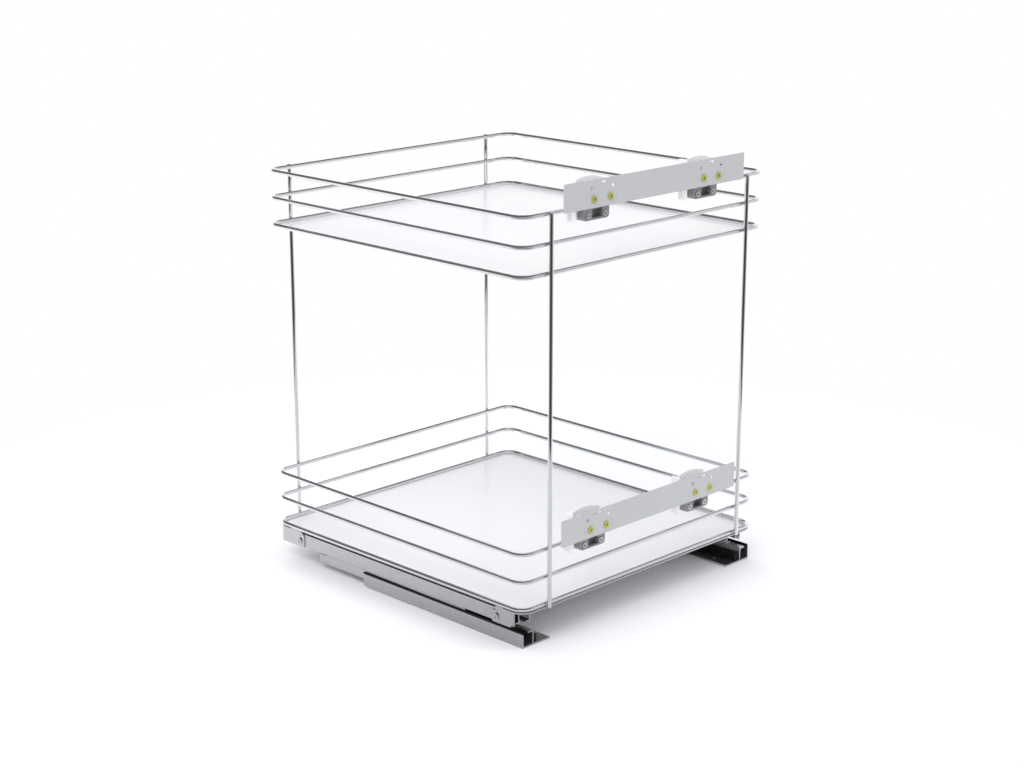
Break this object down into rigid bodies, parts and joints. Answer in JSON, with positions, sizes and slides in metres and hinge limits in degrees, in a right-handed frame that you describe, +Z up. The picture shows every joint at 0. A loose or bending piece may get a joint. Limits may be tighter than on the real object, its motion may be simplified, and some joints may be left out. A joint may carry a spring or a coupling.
{
  "type": "pull out cabinet basket",
  "caption": "Two-tier wire basket for a floor cabinet that slides out with the door on full-extension floor runners, with adjustable door plates.",
  "frame": {"origin": "centre of the footprint box on the cabinet floor, under the middle of the object from screw heads to rear posts", "axes": "+X to the right seen from the door, +Y into the cabinet, +Z up; the door is at -Y"},
  "size_m": [0.4594, 0.4978, 0.5796],
  "materials": {
    "chrome_wire": "bright plated",
    "white_sheet": "satin white coating",
    "white_steel": "satin white coating",
    "grey_plate": "satin light grey coating",
    "galvanised": "dull zinc plated",
    "bright_steel": "bright zinc plated",
    "die_cast": "dark grey die-cast zinc alloy",
    "yellow_zinc": "yellow passivated zinc",
    "black_plastic": "matte moulded"
  },
  "bodies": {
    "cabinet_rails": {"cabinet_rail_left": "galvanised", "cabinet_rail_right": "galvanised", "damper_housing_left": "black_plastic", "damper_housing_right": "black_plastic"},
    "intermediate_left": {"intermediate_rail_left": "galvanised"},
    "lower_rolling_left": {"lower_cage_left": "black_plastic", "lower_rollers_left": "bright_steel"},
    "upper_rolling_left": {"upper_cage_left": "black_plastic", "upper_rollers_left": "bright_steel"},
    "catch_left": {"damper_catch_left": "black_plastic"},
    "intermediate_right": {"intermediate_rail_right": "galvanised"},
    "lower_rolling_right": {"lower_cage_right": "black_plastic", "lower_rollers_right": "bright_steel"},
    "upper_rolling_right": {"upper_cage_right": "black_plastic", "upper_rollers_right": "bright_steel"},
    "catch_right": {"damper_catch_right": "black_plastic"},
    "upper_slides": {"upper_adjuster_slides": "galvanised"},
    "upper_plate": {"upper_front_plate": "grey_plate"},
    "side_screw_upper_left": {"side_screw_upper_left": "yellow_zinc"},
    "height_screw_upper_left": {"height_screw_upper_left": "yellow_zinc"},
    "side_screw_upper_right": {"side_screw_upper_right": "yellow_zinc"},
    "height_screw_upper_right": {"height_screw_upper_right": "yellow_zinc"},
    "lower_slides": {"lower_adjuster_slides": "galvanised"},
    "lower_plate": {"lower_front_plate": "grey_plate"},
    "side_screw_lower_left": {"side_screw_lower_left": "yellow_zinc"},
    "height_screw_lower_left": {"height_screw_lower_left": "yellow_zinc"},
    "side_screw_lower_right": {"side_screw_lower_right": "yellow_zinc"},
    "height_screw_lower_right": {"height_screw_lower_right": "yellow_zinc"},
    "pull_out": {"lower_shelf": "white_sheet", "upper_shelf": "white_sheet", "shelf_stiffeners": "chrome_wire", "front_base_plate": "galvanised", "rear_base_plate": "galvanised", "lower_rim": "chrome_wire", "lower_middle_rail": "chrome_wire", "lower_top_rail": "chrome_wire", "upper_rim": "chrome_wire", "upper_middle_rail": "chrome_wire", "upper_top_rail": "chrome_wire", "post_front_left": "chrome_wire", "post_front_right": "chrome_wire", "post_rear_left": "chrome_wire", "post_rear_right": "chrome_wire", "carrier_upper_left": "white_steel", "carrier_upper_right": "white_steel", "carrier_lower_left": "white_steel", "carrier_lower_right": "white_steel", "clamp_upper_left": "die_cast", "clamp_upper_right": "die_cast", "clamp_lower_left": "die_cast", "clamp_lower_right": "die_cast", "clamp_screws": "bright_steel", "drawer_rail_left": "galvanised", "drawer_rail_right": "galvanised", "front_bracket_left": "galvanised", "front_bracket_right": "galvanised", "rear_bracket_left": "galvanised", "rear_bracket_right": "galvanised", "bracket_screws": "bright_steel", "base_plate_rivets": "bright_steel"}
  },
  "joints": [
    {"name": "basket_slide", "type": "slide", "parent": "cabinet_rails", "child": "pull_out", "axis": [0, -1, 0], "range_m": [0, 0.45]},
    {"name": "intermediate_left_slide", "type": "slide", "parent": "cabinet_rails", "child": "intermediate_left", "axis": [0, -1, 0], "range_m": [0, 0.225]},
    {"name": "lower_rolling_left_slide", "type": "slide", "parent": "cabinet_rails", "child": "lower_rolling_left", "axis": [0, -1, 0], "range_m": [0, 0.1125]},
    {"name": "upper_rolling_left_slide", "type": "slide", "parent": "cabinet_rails", "child": "upper_rolling_left", "axis": [0, -1, 0], "range_m": [0, 0.3375]},
    {"name": "catch_left_slide", "type": "slide", "parent": "cabinet_rails", "child": "catch_left", "axis": [0, -1, 0], "range_m": [0, 0.05]},
    {"name": "intermediate_right_slide", "type": "slide", "parent": "cabinet_rails", "child": "intermediate_right", "axis": [0, -1, 0], "range_m": [0, 0.225]},
    {"name": "lower_rolling_right_slide", "type": "slide", "parent": "cabinet_rails", "child": "lower_rolling_right", "axis": [0, -1, 0], "range_m": [0, 0.1125]},
    {"name": "upper_rolling_right_slide", "type": "slide", "parent": "cabinet_rails", "child": "upper_rolling_right", "axis": [0, -1, 0], "range_m": [0, 0.3375]},
    {"name": "catch_right_slide", "type": "slide", "parent": "cabinet_rails", "child": "catch_right", "axis": [0, -1, 0], "range_m": [0, 0.05]},
    {"name": "upper_side_adjust", "type": "slide", "parent": "pull_out", "child": "upper_slides", "axis": [1, 0, 0], "range_m": [-0.0015, 0.0015]},
    {"name": "upper_height_adjust", "type": "slide", "parent": "upper_slides", "child": "upper_plate", "axis": [0, 0, 1], "range_m": [-0.0015, 0.0015]},
    {"name": "side_screw_upper_left_turn", "type": "hinge", "parent": "upper_slides", "child": "side_screw_upper_left", "pos_m": [-0.1171, -0.2473, 0.55305], "axis": [0, -1, 0], "range_deg": [-90, 90]},
    {"name": "height_screw_upper_left_turn", "type": "hinge", "parent": "upper_plate", "child": "height_screw_upper_left", "pos_m": [-0.0879, -0.2473, 0.55305], "axis": [0, 1, 0], "range_deg": [-90, 90]},
    {"name": "side_screw_upper_right_turn", "type": "hinge", "parent": "upper_slides", "child": "side_screw_upper_right", "pos_m": [0.0879, -0.2473, 0.55305], "axis": [0, -1, 0], "range_deg": [-90, 90]},
    {"name": "height_screw_upper_right_turn", "type": "hinge", "parent": "upper_plate", "child": "height_screw_upper_right", "pos_m": [0.1171, -0.2473, 0.55305], "axis": [0, 1, 0], "range_deg": [-90, 90]},
    {"name": "lower_side_adjust", "type": "slide", "parent": "pull_out", "child": "lower_slides", "axis": [1, 0, 0], "range_m": [-0.0015, 0.0015]},
    {"name": "lower_height_adjust", "type": "slide", "parent": "lower_slides", "child": "lower_plate", "axis": [0, 0, 1], "range_m": [-0.0015, 0.0015]},
    {"name": "side_screw_lower_left_turn", "type": "hinge", "parent": "lower_slides", "child": "side_screw_lower_left", "pos_m": [-0.1171, -0.2473, 0.13305], "axis": [0, -1, 0], "range_deg": [-90, 90]},
    {"name": "height_screw_lower_left_turn", "type": "hinge", "parent": "lower_plate", "child": "height_screw_lower_left", "pos_m": [-0.0879, -0.2473, 0.13305], "axis": [0, 1, 0], "range_deg": [-90, 90]},
    {"name": "side_screw_lower_right_turn", "type": "hinge", "parent": "lower_slides", "child": "side_screw_lower_right", "pos_m": [0.0879, -0.2473, 0.13305], "axis": [0, -1, 0], "range_deg": [-90, 90]},
    {"name": "height_screw_lower_right_turn", "type": "hinge", "parent": "lower_plate", "child": "height_screw_lower_right", "pos_m": [0.1171, -0.2473, 0.13305], "axis": [0, 1, 0], "range_deg": [-90, 90]}
  ],
  "couplings": [
    {"joint": "intermediate_left_slide", "follows": "basket_slide", "ratio": 0.5},
    {"joint": "lower_rolling_left_slide", "follows": "basket_slide", "ratio": 0.25},
    {"joint": "upper_rolling_left_slide", "follows": "basket_slide", "ratio": 0.75},
    {"joint": "catch_left_slide", "follows": "basket_slide", "ratio": 0.1111},
    {"joint": "intermediate_right_slide", "follows": "basket_slide", "ratio": 0.5},
    {"joint": "lower_rolling_right_slide", "follows": "basket_slide", "ratio": 0.25},
    {"joint": "upper_rolling_right_slide", "follows": "basket_slide", "ratio": 0.75},
    {"joint": "catch_right_slide", "follows": "basket_slide", "ratio": 0.1111},
    {"joint": "side_screw_upper_left_turn", "follows": "upper_side_adjust", "rad_per_m": 1047.2},
    {"joint": "height_screw_upper_left_turn", "follows": "upper_height_adjust", "rad_per_m": 1047.2},
    {"joint": "side_screw_upper_right_turn", "follows": "upper_side_adjust", "rad_per_m": 1047.2},
    {"joint": "height_screw_upper_right_turn", "follows": "upper_height_adjust", "rad_per_m": 1047.2},
    {"joint": "side_screw_lower_left_turn", "follows": "lower_side_adjust", "rad_per_m": 1047.2},
    {"joint": "height_screw_lower_left_turn", "follows": "lower_height_adjust", "rad_per_m": 1047.2},
    {"joint": "side_screw_lower_right_turn", "follows": "lower_side_adjust", "rad_per_m": 1047.2},
    {"joint": "height_screw_lower_right_turn", "follows": "lower_height_adjust", "rad_per_m": 1047.2}
  ]
}
